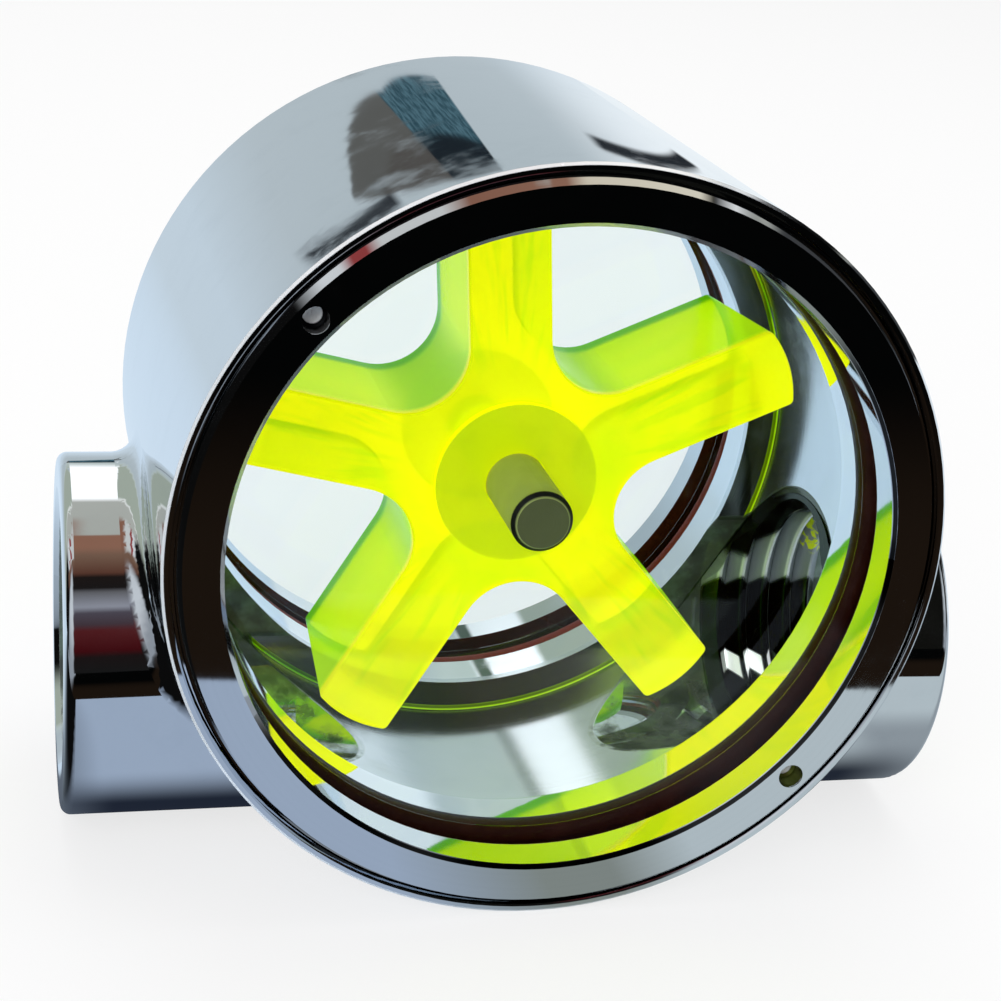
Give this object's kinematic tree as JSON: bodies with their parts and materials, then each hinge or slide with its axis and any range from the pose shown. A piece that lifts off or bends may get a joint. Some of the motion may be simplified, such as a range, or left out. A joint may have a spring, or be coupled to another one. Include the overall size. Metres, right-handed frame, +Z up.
{
  "type": "water flow indicator",
  "caption": "Round plated flow indicator with a clear window at each end, threaded ports on opposite sides and a yellow impeller that spins when water flows.",
  "frame": {"origin": "centre of the body, on the shaft axis, midway between the two windows", "axes": "+X along the port axis, to the right when the front window faces the viewer; +Y from the front window to the rear one; +Z up, with the ports below the middle"},
  "size_m": [0.0436, 0.027, 0.036],
  "materials": {
    "plated_body": "polished",
    "plated_ring": "polished",
    "clear_window": "clear polished",
    "seal_rubber": "matte",
    "yellow_plastic": "glossy translucent",
    "shaft_steel": "ground"
  },
  "bodies": {
    "housing": {"body": "plated_body", "front_retaining_ring": "plated_ring", "rear_retaining_ring": "plated_ring", "front_window": "clear_window", "rear_window": "clear_window", "front_o_ring": "seal_rubber", "rear_o_ring": "seal_rubber", "shaft": "shaft_steel"},
    "wheel": {"impeller": "yellow_plastic"}
  },
  "joints": [
    {"name": "impeller_spin", "type": "hinge", "parent": "housing", "child": "wheel", "pos_m": [0, 0, 0], "axis": [0, 1, 0], "continuous": true}
  ]
}
